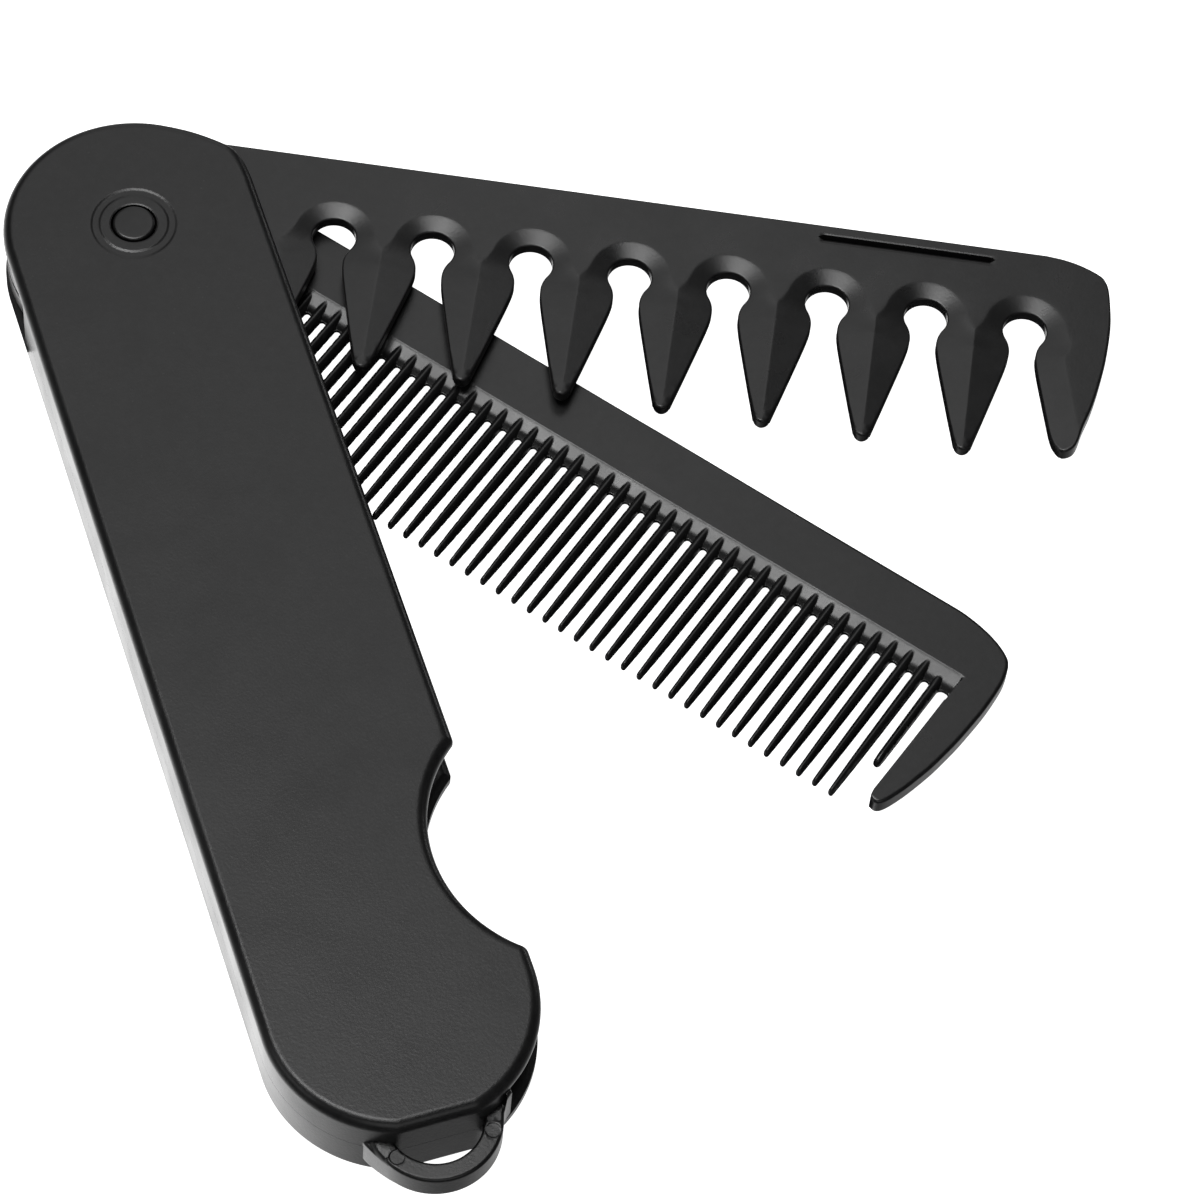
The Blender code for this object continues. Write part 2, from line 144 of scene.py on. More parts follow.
def handle_outline():
    """The covers' outline, anticlockwise from the end flat."""
    r, cy, flat = far_end(0)
    nx, ny = NOTCH_C
    dy = math.sqrt(NOTCH_R**2 - (nx - r) ** 2)
    low, high = (r, ny - dy), (r, ny + dy)
    a_low = math.degrees(math.atan2(low[1] - ny, low[0] - nx)) % 360
    a_high = math.degrees(math.atan2(high[1] - ny, high[0] - nx)) % 360
    sweep = arc(nx, ny, NOTCH_R, a_low - 4.5, a_high + 2.2, 1.2)
    return tidy([
        arc(0, cy, r, -90 + flat + 1.5, 0, 1.5),
        rounded((r, low[1] - 5), low, sweep[0], 1.2, 6),
        sweep,
        rounded(sweep[-1], high, (r, high[1] + 5), 0.75, 8),
        smooth_through(SHOULDER, 3),
        arc(0, 0, r, SHOULDER_DEG, 180, 1.5),
        arc(0, cy, r, 180, 270 - flat - 1.5, 1.5),
        rounded(arc(0, cy, r, 270 - flat - 1.5, 270 - flat, 2)[0], (-r * math.sin(math.radians(flat)), END_FLAT_Y), (0, END_FLAT_Y), 2.0, 4),
        rounded((0, END_FLAT_Y), (r * math.sin(math.radians(flat)), END_FLAT_Y), arc(0, cy, r, -90 + flat, -90 + flat + 1.5, 2)[1], 2.0, 4),
    ], 0.02)


def cavity_edge():
    """Inner face of the spine wall, from beside the pivot round to the wall's end past the loop."""
    r, cy, flat = far_end(WALL_T)
    return tidy([
        [(-r, WALL_TOP_Y)],
        arc(0, cy, r, 180, 270 - flat, 3),
        arc(0, cy, r, 270 + flat, 360 + WALL_END_DEG, 3),
    ])


def flank(v):
    s = NECK_V - v
    return NECK_HALF + FLANK_SLOPE * (s - FLANK_EASE * (1 - math.exp(-s / FLANK_EASE)))


def wide_gap(centre, low_v, step=1.0):
    """A keyhole gap from its lower left to its lower right."""
    neck_r = ((KEY_V - NECK_V) ** 2 + NECK_HALF**2 - KEY_R**2) / (2 * (KEY_R - NECK_HALF))
    nu = NECK_HALF + neck_r
    touch = math.degrees(math.atan2(NECK_V - KEY_V, nu))
    vs = list(np.arange(low_v, -1.5, step)) + list(np.arange(-1.5, NECK_V - 0.1, 0.35))
    half = tidy([
        [(flank(v), v) for v in vs],
        arc(nu, NECK_V, neck_r, 180, 180 + touch, 4),
        arc(0, KEY_V, KEY_R, touch, 90, 5),
    ])
    left = half * [-1, 1] + [centre, 0]
    right = half[-2::-1] + [centre, 0]
    return np.vstack([left, right])


def pivot_end(low_v):
    return arc(0, 0, BACK_V, 90, 360 + math.degrees(math.asin(low_v / BACK_V)), 2.5)


# ------------------------------------------------------------------ relief plates
def inside(points, loops):
    """Even-odd test of many points against closed outlines."""
    a = np.concatenate(loops)
    b = np.concatenate([np.roll(l, -1, axis=0) for l in loops])
    out = np.zeros(len(points), bool)
    for i in range(0, len(points), 4000):
        x, y = points[i:i + 4000, 0:1], points[i:i + 4000, 1:2]
        spans = (a[:, 1] > y) != (b[:, 1] > y)
        with np.errstate(divide="ignore", invalid="ignore"):
            at = a[:, 0] + (y - a[:, 1]) * (b[:, 0] - a[:, 0]) / (b[:, 1] - a[:, 1])
        out[i:i + 4000] = (np.sum(spans & (x < at), axis=1) % 2) == 1
    return out


def distance(points, segments, spacing=0.08):
    """Distance of many points to the nearest of the segments (a, b)."""
    a, b = segments
    length = np.hypot(*(b - a).T)
    owner, samples = [], []
    for i, (p, q, l) in enumerate(zip(a, b, length)):
        k = max(1, math.ceil(l / spacing))
        t = (np.arange(k) + 0.5)[:, None] / k
        samples.append(p + (q - p) * t)
        owner.append(np.full(k, i))
    samples, owner = np.concatenate(samples), np.concatenate(owner)
    tree = KDTree(len(samples))
    for i, (x, y) in enumerate(samples.tolist()):
        tree.insert((x, y, 0.0), i)
    tree.balance()
    near = np.array([tree.find((x, y, 0.0))[1] for x, y in points.tolist()])
    best = np.full(len(points), np.inf)
    for shift in (-1, 0, 1):
        s = owner[np.clip(near + shift, 0, len(owner) - 1)]
        p, ab = points - a[s], b[s] - a[s]
        t = np.clip((p * ab).sum(1) / np.maximum((ab * ab).sum(1), 1e-18), 0, 1)
        best = np.minimum(best, np.hypot(*(p - t[:, None] * ab).T))
    return best


def segments_of(loops):
    return np.concatenate(loops), np.concatenate([np.roll(l, -1, axis=0) for l in loops])


def rings(loops, offsets, most=9.0):
    """Points at set distances inside closed outlines; every outline keeps the material on its left."""
    seg = segments_of(loops)
    out = []
    for loop in loops:
        before, after = np.roll(loop, 1, axis=0), np.roll(loop, -1, axis=0)
        t = (loop - before) / np.linalg.norm(loop - before, axis=1)[:, None] + (after - loop) / np.linalg.norm(after - loop, axis=1)[:, None]
        n = np.c_[-t[:, 1], t[:, 0]]
        n /= np.maximum(np.linalg.norm(n, axis=1), 1e-9)[:, None]
        for d in offsets:
            p = loop + n * d
            out.append(p[distance(p, seg) > d * 0.985 - 1e-6])
    return np.concatenate(out)


def grid(x0, x1, y0, y1, dx, dy=None):
    """A staggered lattice of points."""
    dy = dy or dx
    out = []
    for j, y in enumerate(np.arange(y0, y1, dy)):
        out.append(np.c_[np.arange(x0 + (dx / 2 if j % 2 else 0), x1, dx), np.full(len(np.arange(x0 + (dx / 2 if j % 2 else 0), x1, dx)), y)])
    return np.concatenate(out)


def thinned(points, least):
    """Drops points closer than least to one kept before."""
    cells = {}
    keep = []
    for i, (x, y) in enumerate(points):
        cx, cy = int(math.floor(x / least)), int(math.floor(y / least))
        near = False
        for ax in (cx - 1, cx, cx + 1):
            for ay in (cy - 1, cy, cy + 1):
                for j in cells.get((ax, ay), ()):
                    if (points[j][0] - x) ** 2 + (points[j][1] - y) ** 2 < least * least:
                        near = True
                        break
        if not near:
            cells.setdefault((cx, cy), []).append(i)
            keep.append(i)
    return points[keep]


def triangulated(loops, lines, points):
    """Triangles that fill the outlines, with every outline and line edge kept."""
    verts, edges = [], []
    for loop in loops:
        k = len(verts)
        verts += [Vector(p) for p in loop]
        edges += [(k + i, k + (i + 1) % len(loop)) for i in range(len(loop))]
    for line in lines:
        k = len(verts)
        verts += [Vector(p) for p in line]
        edges += [(k + i, k + i + 1) for i in range(len(line) - 1)]
    verts += [Vector(p) for p in points]
    v, e, f, *_ = delaunay_2d_cdt(verts, edges, [], 0, 1e-5)
    v = np.array([(p.x, p.y) for p in v])
    f = np.array([t for t in f if len(t) == 3])
    f = f[inside(v[f].mean(1), loops)]
    area = np.cross(v[f[:, 1]] - v[f[:, 0]], v[f[:, 2]] - v[f[:, 0]])
    f[area < 0] = f[area < 0][:, ::-1]
    return v, f[np.abs(area) > 1e-9]


def mesh_object(name, verts, faces, turn=0.0, sharp=40.0):
    mesh = bpy.data.meshes.new(name)
    mesh.from_pydata((np.asarray(verts) * MM).tolist(), [], [tuple(int(i) for i in f) for f in faces])
    bm = bmesh.new()
    bm.from_mesh(mesh)
    bmesh.ops.remove_doubles(bm, verts=bm.verts, dist=1e-7)
    bmesh.ops.delete(bm, geom=[v for v in bm.verts if not v.link_faces], context="VERTS")
    bm.to_mesh(mesh)
    bm.free()
    if turn:
        mesh.transform(Matrix.Rotation(math.radians(turn), 4, "Z"))
    mesh.shade_smooth()
    if sharp:
        mesh.set_sharp_from_angle(angle=math.radians(sharp))
    made = bpy.data.objects.new(name, mesh)
    bpy.context.scene.collection.objects.link(made)
    return made


def relief(v, f, top, lows, region=None, margin=0.12):
    """A closed skin over a filled plan: top heights, and low heights that may step between regions.

    lows has one array of heights for each region; region gives each triangle's region. The outer wall gets a row of
    points at the margin from its two ends, which keeps the shading of the rounded edges off the flat of the wall."""
    n = len(v)
    region = np.zeros(len(f), int) if region is None else region
    verts = [tuple(p) for p in np.concatenate([np.c_[v, top]] + [np.c_[v, z] for z in lows])]
    faces = [tuple(int(i) for i in t) for t in f]
    owner = {}
    met = {}
    for i, t in enumerate(f):
        r = region[i]
        o = n * (1 + r)
        faces.append((int(t[2] + o), int(t[1] + o), int(t[0] + o)))
        for a, b in ((t[0], t[1]), (t[1], t[2]), (t[2], t[0])):
            owner[(int(a), int(b))] = i
            met.setdefault(int(a), set()).add(int(r))
    columns = {}

    def column(i, r):
        """Points down the outer wall at plan point i, of region r."""
        if (i, r) not in columns:
            hi, lo = verts[i][2], verts[n * (1 + r) + i][2]
            steps = [n * (1 + s) + i for s in met[i] if s != r and lo < verts[n * (1 + s) + i][2] < hi]
            if hi - lo > 2.5 * margin:
                for z in (hi - margin, lo + margin):
                    if all(abs(z - verts[k][2]) > 1e-3 for k in steps):
                        verts.append((verts[i][0], verts[i][1], z))
                        steps.append(len(verts) - 1)
            columns[(i, r)] = [i] + sorted(steps, key=lambda k: -verts[k][2]) + [n * (1 + r) + i]
            for s in set(met[i]) - {r}:
                if (i, s) not in columns:
                    low_s = verts[n * (1 + s) + i][2]
                    kept = [k for k in columns[(i, r)] if verts[k][2] > low_s + 1e-9 and k != n * (1 + s) + i]
                    columns[(i, s)] = kept + [n * (1 + s) + i]
        return columns[(i, r)]

    # the deeper region's column is made first, so that its neighbour shares its points
    order = sorted(owner.items(), key=lambda kv: verts[n * (1 + region[kv[1]]) + kv[0][0]][2])
    for (a, b), i in order:
        if (b, a) in owner:
            continue
        r = int(region[i])
        down_a, down_b = column(a, r), column(b, r)
        if len(down_a) == len(down_b) and all(abs(verts[p][2] - verts[q][2]) < 3 * margin for p, q in zip(down_a, down_b)):
            for k in range(len(down_a) - 1):
                faces.append((down_b[k], down_a[k], down_a[k + 1], down_b[k + 1]))
        else:
            faces.append((down_b[0], *down_a, *down_b[:0:-1]))

    def between(i, r, s):
        """Points of the outer wall between the low heights of two regions, from r's to s's."""
        z0, z1 = verts[n * (1 + r) + i][2], verts[n * (1 + s) + i][2]
        found = {k for q in (r, s) for k in columns.get((i, q), ()) if min(z0, z1) + 1e-9 < verts[k][2] < max(z0, z1) - 1e-9}
        return sorted(found, key=lambda k: verts[k][2], reverse=z0 > z1)

    for (a, b), i in owner.items():
        j = owner.get((b, a))
        if j is None or region[j] <= region[i]:
            continue
        r, s = int(region[i]), int(region[j])
        o, p = n * (1 + r), n * (1 + s)
        faces.append((a + o, b + o, *between(b, r, s), b + p, a + p, *between(a, r, s)[::-1]))
    return np.array(verts), faces


def round_drop(d, r):
    """How far a rounded edge of radius r has dropped at the distance d from the outline."""
    d = np.clip(d, 0, r)
    return r - np.sqrt(np.maximum(r * r - (r - d) ** 2, 0))


def round_rows(r, n):
    """Distances from the outline at which a rounded edge needs points."""
    return [r * (1 - math.cos(math.pi / 2 * k / n)) for k in range(1, n)] + [r]


def smoothstep(x):
    x = np.clip(x, 0, 1)
    return x * x * (3 - 2 * x)


def outward_faces(faces):
    return [tuple(reversed(t)) for t in faces]


def ring_lines(radii, n=112):
    a = np.linspace(0, 2 * math.pi, n, endpoint=False)
    return [np.c_[r * np.cos(a), r * np.sin(a)] for r in radii]


def closed(points):
    return np.vstack([points, points[:1]])


# ------------------------------------------------------------------ handle covers
RIM_OFFSETS = [0.012, 0.05, 0.11, 0.19, 0.3, 0.43, 0.58, 0.75, 0.95, 1.15, 1.22, 1.7]


def end_lines():
    """Line that parts the spine wall from the thin plate, run a little past the outline at both ends."""
    r, cy, flat = far_end(WALL_T)
    edge = cavity_edge()
    a = math.radians(WALL_END_DEG)
    # points across the rounded edge at both ends, so that the line follows it
    across = np.array([-0.5] + [x for x in RIM_OFFSETS if x < WALL_T - 0.1])
    start = np.c_[-HANDLE_R + across, np.full(len(across), WALL_TOP_Y)]
    stop = np.c_[(HANDLE_R - across) * math.cos(a), cy + (HANDLE_R - across) * math.sin(a)][::-1]
    return np.vstack([start, edge, stop])


def in_plate(points):
    line = end_lines()
    a = math.radians(WALL_END_DEG)
    out = HANDLE_R + 6
    loop = np.vstack([[(-out, WALL_TOP_Y)], line, [(out * math.cos(a), -HANDLE_LEN + out * math.sin(a)), (out + 8, -HANDLE_LEN), (out + 8, out), (-out, out)]])
    return inside(points, [loop])


def eased(x, w=0.29):
    """A straight slope from 0 to 1 with a rounded start and end."""
    x = np.clip(x, 0, 1)
    y = np.where(x < w, x * x / (2 * w), np.where(x < 1 - w, x - w / 2, 1 - w - (1 - x) ** 2 / (2 * w)))
    return y / (1 - w)


def groove_depth(r):
    """Ring groove round the pivot."""
    return 0.085 * np.minimum(eased((r - 3.5) / 0.36), eased((4.72 - r) / 0.38))


def cover(name, upper):
    outline = split_long(handle_outline(), 1.6)
    hole = ring_lines([2.49], 96)[0][::-1]
    loops = [outline, hole] if upper else [outline]
    groove = [2.52, 2.56, 2.6, 2.65, 2.7, 3.42, 3.5, 3.55, 3.6, 3.65, 3.7, 3.76, 3.81, 3.86, 3.93]
    groove += [4.22, 4.32, 4.38, 4.43, 4.48, 4.54, 4.6, 4.66, 4.72, 4.8]
    lines = [end_lines()]
    if upper:
        lines += [closed(c) for c in ring_lines(groove)]
    else:
        lines += [closed(c) for c in ring_lines([2.5], 96)]
    points = rings([outline], RIM_OFFSETS)
    seg = segments_of([outline])
    middle = grid(-13, 13, -110, 13, 3.0)
    middle = middle[inside(middle, [outline])]
    middle = middle[(distance(middle, seg) > 2.4) & (np.hypot(*middle.T) > 6)]
    v, f = triangulated(loops, lines, np.vstack([points, middle]))
    d = distance(v, seg)
    radius = np.hypot(v[:, 0], v[:, 1])
    centre = v[f].mean(1)
    plate = in_plate(centre)
    n = len(v)
    mid = (seg[0] + seg[1]) / 2
    open_rim = in_plate(mid)
    d_open = distance(v, (seg[0][open_rim], seg[1][open_rim]))
    if upper:
        top = TOTAL_H - round_drop(d, EDGE_R)
        near = radius < 6
        top[near] -= groove_depth(radius[near])
        top[radius < 2.70] -= 0.05 * (1 - smoothstep((radius[radius < 2.70] - 2.47) / 0.2))
        bevel = RIM_BEVEL - 0.1 - d_open
        lows = [np.full(n, SEAM_Z + SEAM_GAP), TOTAL_H - PLATE_T + (bevel + np.sqrt(bevel**2 + 0.1**2)) / 2]
        region = plate.astype(int)
        verts, faces = relief(v, f, top, lows, region)
        return verts, faces
    # the bottom cover is drawn outside face up, then turned over
    top = -round_drop(d, UNDER_EDGE_R)
    bevel = RIM_BEVEL - d_open
    lows = [
        np.full(n, -(SEAM_Z - SEAM_GAP)),
        -(PLATE_T - (bevel + np.sqrt(bevel**2 + 0.15**2)) / 2),
        np.full(n, -0.6),
    ]
    region = plate.astype(int)
    region[np.hypot(*centre.T) < 2.5] = 2
    verts, faces = relief(v, f, top, lows, region, margin=0.04)
    return verts * [1, 1, -1], outward_faces(faces)


def loop_body():
    """The key-ring loop, with webs into the end wall at both sides and small rounded edges."""
    cx, cy = LOOP_C
    inner_wall = END_FLAT_Y + 0.55           # reaches into the end wall
    root_y = inner_wall + 1.55
    outer = arc(cx, cy, LOOP_R_OUT, 207, 344, 2.5)
    left_out = smooth_through([(-7.3, -109.2), (-7.05, -109.85), (-6.64, -110.65), tuple(outer[0])], 6)
    right_out = smooth_through([tuple(outer[-1]), (6.9, -110.4), (7.28, -109.93), (7.68, -109.55), (7.95, -109.32)], 6)
    hole_l = cx - math.sqrt(LOOP_R_IN**2 - (inner_wall - cy) ** 2)
    b0 = math.degrees(math.atan2(inner_wall - cy, hole_l - cx)) % 360
    inner = arc(cx, cy, LOOP_R_IN, 540 - b0, b0, 3)
    ring = tidy([left_out, outer, right_out, [(7.9, root_y), (5.1, root_y)], inner, [(-4.7, root_y), (-7.0, -108.4)]], 0.03)
    steps = [[np.array([cx + r * math.cos(math.radians(a)), cy + r * math.sin(math.radians(a))]) for r in np.linspace(5.02, 6.5, 7)] for a in (205.5, 206.6, 338.9, 340.0)]
    ring = split_long(ring, 0.6)
    seg = segments_of([ring])
    mid = (seg[0] + seg[1]) / 2
    showing = mid[:, 1] < END_FLAT_Y + 1.9
    rim = (seg[0][showing], seg[1][showing])
    offsets = [0.01, 0.04, 0.09, 0.15, 0.21, 0.28, 0.34, 0.4, 0.55]
    marks = []
    for mx, my in ((-4.6, -112.1), (5.2, -112.0)):
        for r in (0.66, 0.72, 0.78, 0.84):
            marks.append(closed(arc(mx, my, r, 0, 352.5, 7.5)))
    outline = handle_outline()
    away = outline.copy()
    # the bottom cover's wall stands just off the loop's lower half
    before, after = np.roll(outline, 1, axis=0), np.roll(outline, -1, axis=0)
    t = after - before
    t /= np.linalg.norm(t, axis=1)[:, None]
    away = outline + np.c_[t[:, 1], -t[:, 0]] * 0.06
    near_end = away[:, 1] < -104
    run = away[near_end]
    run = run[np.argsort(np.degrees(np.arctan2(run[:, 1] + HANDLE_LEN, run[:, 0])))]
    points = rings([ring], offsets)
    fill = grid(-9, 9, -116, -109, 0.5)
    fill = fill[inside(fill, [ring])]
    fill = fill[distance(fill, seg) > 0.7]
    v, f = triangulated([ring], [run] + marks + [np.array(line) for line in steps], np.vstack([points, fill]))
    d = distance(v, rim)
    n = len(v)
    # the band between the two ejector marks lies a little lower than its roots
    turn = np.degrees(np.arctan2(v[:, 1] - cy, v[:, 0] - cx)) % 360
    band = smoothstep((turn - 205.5) / 1.1) * smoothstep((340.0 - turn) / 1.1)
    for mx, my in ((-4.6, -112.1), (5.2, -112.0)):
        band = np.maximum(band, smoothstep((0.86 - np.hypot(v[:, 0] - mx, v[:, 1] - my)) / 0.06))
    south = np.clip(-110.0 - v[:, 1], 0, None)
    top = LOOP_Z1 - round_drop(d, LOOP_EDGE) - 0.05 * band - 0.04 * south
    flare = np.hypot(v[:, 0] - cx, v[:, 1] - cy) - LOOP_R_OUT + 0.12
    top -= np.minimum(1.9 * (flare + np.sqrt(flare**2 + 0.1**2)) / 2, 0.5) * (v[:, 0] < -5.6)
    # the right-hand web climbs to the cover's plate
    top += 1.6 * smoothstep((flare - 0.2) / 0.3) * (v[:, 0] > 5.6)
    root_face = (1 - band) * (np.abs(v[:, 0]) > 3)
    top -= root_face * 0.09 * np.clip(-110.2 - v[:, 1], 0, 2.2)
    for mx, my in ((-4.6, -112.1), (5.2, -112.0)):
        r = np.hypot(v[:, 0] - mx, v[:, 1] - my)
        top -= 0.06 * smoothstep((0.84 - r) / 0.14)
    low = LOOP_Z0 + round_drop(d, LOOP_EDGE) - 0.9 * smoothstep((-4.9 - v[:, 0]) / 1.8)
    lows = [low, np.full(n, SEAM_Z + SEAM_GAP + 0.04)]
    region = inside(v[f].mean(1), [away]).astype(int)
    return relief(v, f, top, lows, region, margin=0.1)


def union(name, main, other):
    """Two closed skins made one."""
    step = main.modifiers.new("join", "BOOLEAN")
    step.operation = "UNION"
    step.solver = "MANIFOLD"
    step.object = other
    bpy.context.view_layer.update()
    mesh = bpy.data.meshes.new_from_object(main.evaluated_get(bpy.context.evaluated_depsgraph_get()))
    main.modifiers.clear()
    main.data = mesh
    mesh.name = name
    bpy.data.objects.remove(other)
    return main


# ------------------------------------------------------------------ rivet
def rivet():
    z0, z1, r = 0.9, 9.65, 2.25
    profile = [(0.0, z1)]
    profile += [(1.1, z1 - 0.004), (1.6, z1 - 0.012)]
    profile += [(r - 0.32, z1 - 0.02), (r - 0.24, z1 - 0.032), (r - 0.17, z1 - 0.051), (r - 0.11, z1 - 0.076), (r - 0.06, z1 - 0.115), (r - 0.02, z1 - 0.17), (r, z1 - 0.25)]
    profile += [(r, z1 - 0.4), (r, 5.0), (r, z0 + 0.3), (r - 0.08, z0 + 0.1), (r - 0.3, z0), (0.0, z0)]
    n = 96
    verts, faces = [(0, 0, z1)], []
    rows = profile[1:-1]
    for pr, pz in rows:
        verts += [(pr * math.cos(2 * math.pi * k / n), pr * math.sin(2 * math.pi * k / n), pz) for k in range(n)]
    verts.append((0, 0, z0))
    last = len(verts) - 1
    for k in range(n):
        m = (k + 1) % n
        faces.append((0, 1 + k, 1 + m))
        for i in range(len(rows) - 1):
            o, p = 1 + i * n, 1 + (i + 1) * n
            faces.append((o + k, p + k, p + m, o + m))
        o = 1 + (len(rows) - 1) * n
        faces.append((o + k, last, o + m))
    return np.array(verts, float), faces


# ------------------------------------------------------------------ wide comb
def wide_shape():
    centres = [GAP_FIRST + GAP_PITCH * k for k in range(GAP_COUNT)]
    tip_c, tip_r = -11.68, 0.89
    lean = math.degrees(math.atan(FLANK_SLOPE))
    low = tip_c - tip_r * math.sin(math.radians(lean))
    parts, gaps = [pivot_end(WIDE_HEEL_V)], []
    for k, c in enumerate(centres):
        gap = wide_gap(c, low)
        if k == 0:
            corner = (c - flank(WIDE_HEEL_V), WIDE_HEEL_V)
            start = rounded((corner[0] - 4, WIDE_HEEL_V), corner, gap[1], 0.9, 8)
            gap = np.vstack([start, gap[gap[:, 1] > start[-1][1] + 0.05]]) if gap[0][1] < start[-1][1] else np.vstack([start, gap])
            keep = [i for i in range(len(gap)) if i < len(start) or not (gap[i][0] < c and gap[i][1] < start[-1][1] + 0.05)]
            gap = gap[keep]
            right = wide_gap(c, low)
            right = right[(right[:, 0] > c) & (right[:, 1] < start[-1][1] + 0.06)]
            gap = np.vstack([gap[~((gap[:, 0] > c) & (gap[:, 1] < start[-1][1] + 0.06))], right])
        if k == GAP_COUNT - 1:
            gap = gap[~((gap[:, 0] > c) & (gap[:, 1] < -9.3))]
        parts.append(gap)
        gaps.append(gap)
        if k < GAP_COUNT - 1:
            parts.append(arc(c + GAP_PITCH / 2, tip_c, tip_r, 180 + lean, 360 - lean, 12))
    last = centres[-1]
    end = smooth_through([(last + flank(-9.4), -9.4), (100.74, -10.45), *WIDE_END], 5)
    parts.append(end[1:])
    outline = tidy(parts, 0.02)
    return split_long(outline, 1.1), gaps, centres


def wide_comb():
    outline, gaps, centres = wide_shape()
    hole = ring_lines([2.32], 72)[0][::-1]
    loops = [outline, hole]
    seg = segments_of([outline])
    flanks = [wide_gap(c, -15.5, 0.6) for c in centres]
    near_gap = outline[(outline[:, 1] < 7) & (outline[:, 0] > 17)]
    points = [rings([outline], [0.012, 0.045, 0.095, 0.16, 0.24, 0.34, 0.46])]
    # rings along the gaps for the bevels, and the ridges between them
    curves = [(g[:-1], g[1:]) for g in flanks]
    wide_rings = []
    for g in flanks:
        t = np.gradient(g, axis=0)
        t /= np.linalg.norm(t, axis=1)[:, None]
        out = np.c_[-t[:, 1], t[:, 0]]
        off = np.full(len(g), 2.0)
        for _ in range(8):
            off = GAP_BEVEL_FALL / bevel_slope(g[:, 1] + out[:, 1] * off, g[:, 0] > centres[-1])
        for more in (-0.55, -0.25, -0.12, -0.04, 0.04, 0.12, 0.25, 0.55, 1.1):
            wide_rings.append(g + out * (off + more)[:, None])
        for fixed in (0.75, 1.2):
            wide_rings.append(g + out * fixed)
    wide_rings = np.concatenate(wide_rings)
    wide_rings = wide_rings[inside(wide_rings, [outline])]
    own = np.array([distance(wide_rings, c) for c in curves])
    wide_rings = wide_rings[(own.min(0) > 0.7)]
    near = distance(wide_rings, seg) > 0.5
    points.append(thinned(wide_rings[near], 0.075))
    ridge = []
    for k in range(GAP_COUNT - 1):
        u = centres[k] + GAP_PITCH / 2
        for side in (-0.25, -0.1, 0.1, 0.25):
            vs = np.arange(-10.8 if abs(side) < 0.2 else -10.0, 4.2, 0.4)
            ridge.append(np.c_[np.full(len(vs), u + side), vs])
    points.append(np.concatenate(ridge))
    lines = [np.array([(c + GAP_PITCH / 2, -11.2), (c + GAP_PITCH / 2, 4.0)]) for c in centres[:-1]]
    lines = [np.c_[np.full(39, l[0][0]), np.linspace(l[0][1], l[1][1], 39)] for l in lines]
    # nail nick: a narrow channel with pointed ends and softened long rims
    fu0, fu1, vn, vf = 73.05, 92.5, 11.72, 12.58
    channel = np.array([(fu0, 12.2), (73.7, vf), (92.1, vf), (fu1, 12.25), (91.9, vn), (73.75, vn)])[::-1]
    edge_n = np.roll(channel, -1, axis=0) - channel
    edge_n = np.c_[-edge_n[:, 1], edge_n[:, 0]] / np.linalg.norm(edge_n, axis=1)[:, None]

    def nick(p):
        e = np.min([(p - c) @ m for c, m in zip(channel, edge_n)], axis=0)
        depth = 0.95 * np.clip(e / 0.05, 0, 1)
        ends = smoothstep((p[:, 0] - 73.2) / 0.5) * smoothstep((92.5 - p[:, 0]) / 0.5)
        off = np.where(p[:, 1] > 12.2, p[:, 1] - vf, vn - p[:, 1])
        return depth + np.where(e <= 0.0005, 0.055 * (1 - smoothstep(off / 0.2)) * ends, 0.055 * ends * (1 - np.clip(e / 0.05, 0, 1)))

    def shrunk(by):
        out = []
        for k in range(6):
            m0, m1 = edge_n[k - 1], edge_n[k]
            out.append(channel[k] + np.linalg.solve(np.array([m0, m1]), np.array([by, by])))
        return np.array(out)

    lines.append(split_long(closed(channel), 0.3))
    lines.append(split_long(closed(shrunk(0.05)), 0.3))
    g = grid(fu0 - 0.6, fu1 + 0.6, vn - 0.5, vf + 0.5, 0.3, 0.12)
    points.append(g[distance(g, seg) > 0.5])
    rim = np.arange(fu0 + 0.5, fu1 - 0.4, 0.3)
    for off in (0.05, 0.1, 0.15, 0.2):
        points.append(np.c_[rim, np.full(len(rim), vf + off)])
        points.append(np.c_[rim, np.full(len(rim), vn - off)])
    body = grid(-13, 105, -13, 13.5, 1.5)
    body = body[inside(body, loops)]
    own = np.array([distance(body, c) for c in curves]).min(0)
    body = body[(own > 4.9) & (distance(body, seg) > 0.8) & (np.hypot(*body.T) > 2.8)]
    body = body[~((body[:, 0] > fu0 - 0.9) & (body[:, 0] < fu1 + 0.9) & (body[:, 1] > vn - 0.4))]
    points.append(body)
    v, f = triangulated(loops, lines, np.concatenate(points))

    ds = np.sort(np.array([distance(v, c) for c in curves]), axis=0)
    k = 0.055
    d = ds[0] - k * np.log1p(np.exp(-(ds[1] - ds[0]) / k))
    slope = bevel_slope(v[:, 1], v[:, 0] > centres[-1])
    x = GAP_BEVEL_FALL / slope - d
    soft = (x + np.sqrt(x * x + 0.14**2)) / 2
    far_soft = (-1.0 + math.sqrt(1.0**2 + 0.14**2)) / 2
    fall = slope * np.maximum(soft - far_soft, 0)
    fall = np.where(x < -1.0, 0, fall)
    d_edge = distance(v, seg)
    low_end = smoothstep((-8.5 - v[:, 1]) / 2.0)
    far_end_share = smoothstep((v[:, 0] - 99.5) / 4.0) * smoothstep((9.5 - v[:, 1]) / 6.0)
    edge_r = 0.15 + np.maximum(0.1 * low_end, 0.12 * far_end_share)
    edge = np.where(d_edge < edge_r, edge_r - np.sqrt(np.maximum(edge_r**2 - (edge_r - np.minimum(d_edge, edge_r)) ** 2, 0)), 0)
    top = BLADE_T - fall - edge
    low = fall + edge
    top = top - nick(v)
    verts, faces = relief(v, f, top, [low], margin=0.05)
    verts[:, 2] += WIDE_Z
    return verts, faces


GAP_BEVEL_FALL = 0.5


